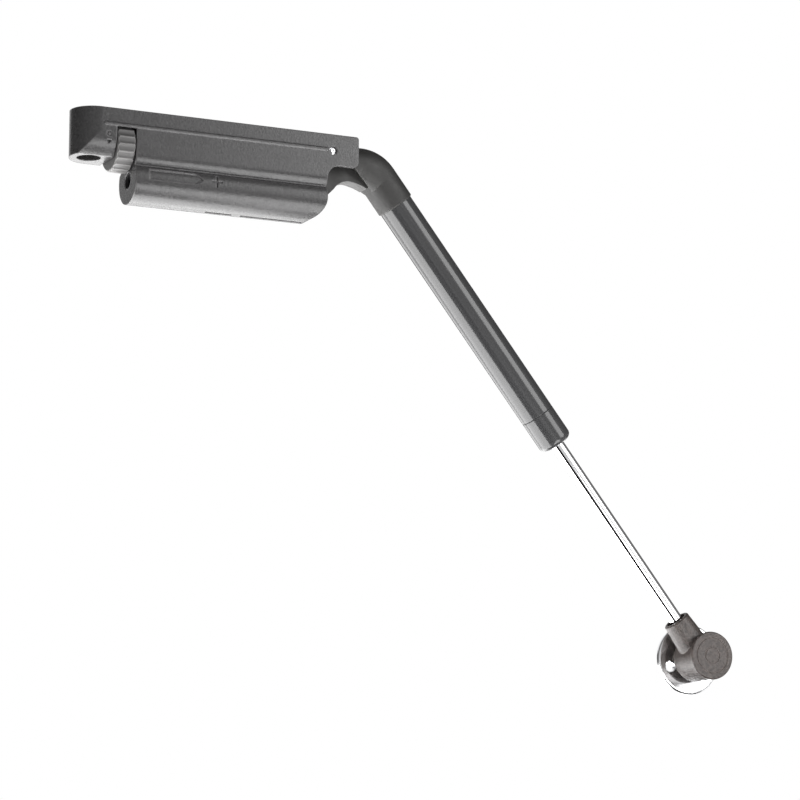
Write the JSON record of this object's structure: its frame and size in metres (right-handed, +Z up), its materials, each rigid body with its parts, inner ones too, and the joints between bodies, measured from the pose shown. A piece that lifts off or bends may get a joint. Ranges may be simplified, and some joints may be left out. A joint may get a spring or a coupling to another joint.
{
  "type": "gas strut stay",
  "caption": "Stay for a cabinet flap: a sprung pivot housing with a thumbwheel, a bent arm on a gas strut, and a ball joint on a round screw flange.",
  "frame": {"origin": "on the housing's flat top face, on the axis of the screw hole in its lug", "axes": "+X along the housing from the lug to the arm, +Y from the front face to the back, towards the flange, +Z up, out of the top face"},
  "size_m": [0.3101, 0.0225, 0.2272],
  "materials": {
    "housing_paint": "satin grey paint with a fine grain",
    "arm_paint": "satin grey paint with a fine grain",
    "tube_paint": "semi-gloss grey paint",
    "zinc_steel": "zinc-plated steel",
    "bright_steel": "bright steel",
    "spring_steel": "oiled spring steel",
    "brass": "machined",
    "nylon": "natural nylon",
    "wheel_plastic": "moulded grey plastic",
    "seal_rubber": "smooth nitrile rubber",
    "rod_chrome": "ground and hard-chromed",
    "flange_chrome": "polished chrome plate"
  },
  "bodies": {
    "housing": {"front_shell": "housing_paint", "rear_shell": "housing_paint", "shell_screws": "zinc_steel", "pivot_pin": "bright_steel", "pivot_washers": "nylon", "trim_spring": "spring_steel", "lift_spring": "spring_steel"},
    "trim_wheel": {"thumbwheel": "wheel_plastic", "trim_spindle": "zinc_steel"},
    "trim_carriage": {"trim_nut": "brass"},
    "adjuster": {"adjusting_screw": "zinc_steel"},
    "adjuster_seat": {"spring_seat": "zinc_steel"},
    "push_carriage": {"plunger": "zinc_steel", "push_fork": "zinc_steel", "fork_screw": "zinc_steel"},
    "arm": {"arm_elbow": "arm_paint", "pivot_bush": "brass", "crank_pin": "bright_steel", "crank_rollers": "bright_steel", "strut_tube": "tube_paint", "tube_plug": "zinc_steel", "rod_guide": "nylon", "rod_seal": "seal_rubber", "tube_end_cap": "tube_paint"},
    "rod": {"piston_rod": "rod_chrome", "piston": "nylon", "piston_ring": "seal_rubber", "piston_nut": "zinc_steel", "rod_end_socket": "arm_paint", "socket_cap": "arm_paint"},
    "swivel": {"ball_liner": "nylon"},
    "foot": {"ball_stud": "flange_chrome", "mounting_flange": "flange_chrome"}
  },
  "joints": [
    {"name": "trim_turn", "type": "hinge", "parent": "housing", "child": "trim_wheel", "pos_m": [0.0129, 0, -0.0138], "axis": [1, 0, 0], "range_deg": [0, 1440]},
    {"name": "trim_slide", "type": "slide", "parent": "housing", "child": "trim_carriage", "axis": [1, 0, 0], "range_m": [0, 0.006]},
    {"name": "adjust_turn", "type": "hinge", "parent": "housing", "child": "adjuster", "pos_m": [0.03, 0, -0.0273], "axis": [1, 0, 0], "range_deg": [0, 1440]},
    {"name": "adjust_slide", "type": "slide", "parent": "housing", "child": "adjuster_seat", "axis": [1, 0, 0], "range_m": [0, 0.006]},
    {"name": "arm_pivot", "type": "hinge", "parent": "housing", "child": "arm", "pos_m": [0.1051, 0, -0.007], "axis": [0, 1, 0], "range_deg": [0, 56], "stiffness_Nm_per_rad": 2, "springref_deg": -20.05},
    {"name": "push_slide", "type": "slide", "parent": "housing", "child": "push_carriage", "axis": [-1, 0, 0], "range_m": [0, 0.0137], "deforming": ["lift_spring", "trim_spring"]},
    {"name": "rod_slide", "type": "slide", "parent": "arm", "child": "rod", "axis": [-0.6205, 0, 0.7842], "range_m": [0, 0.09], "stiffness_N_per_m": 300, "springref_m": -0.33},
    {"name": "socket_swivel", "type": "hinge", "parent": "rod", "child": "swivel", "pos_m": [0.28667, 0, -0.21184], "axis": [0, 1, 0], "continuous": true},
    {"name": "foot_tilt", "type": "hinge", "parent": "swivel", "child": "foot", "pos_m": [0.28667, 0, -0.21184], "axis": [0.7842, 0, 0.6205], "range_deg": [-8, 8]}
  ],
  "couplings": [
    {"joint": "trim_turn", "follows": "trim_slide", "rad_per_m": 4188.8},
    {"joint": "adjust_turn", "follows": "adjust_slide", "rad_per_m": 4188.8},
    {"joint": "push_slide", "follows": "arm_pivot", "m_per_rad": 0.014007}
  ]
}
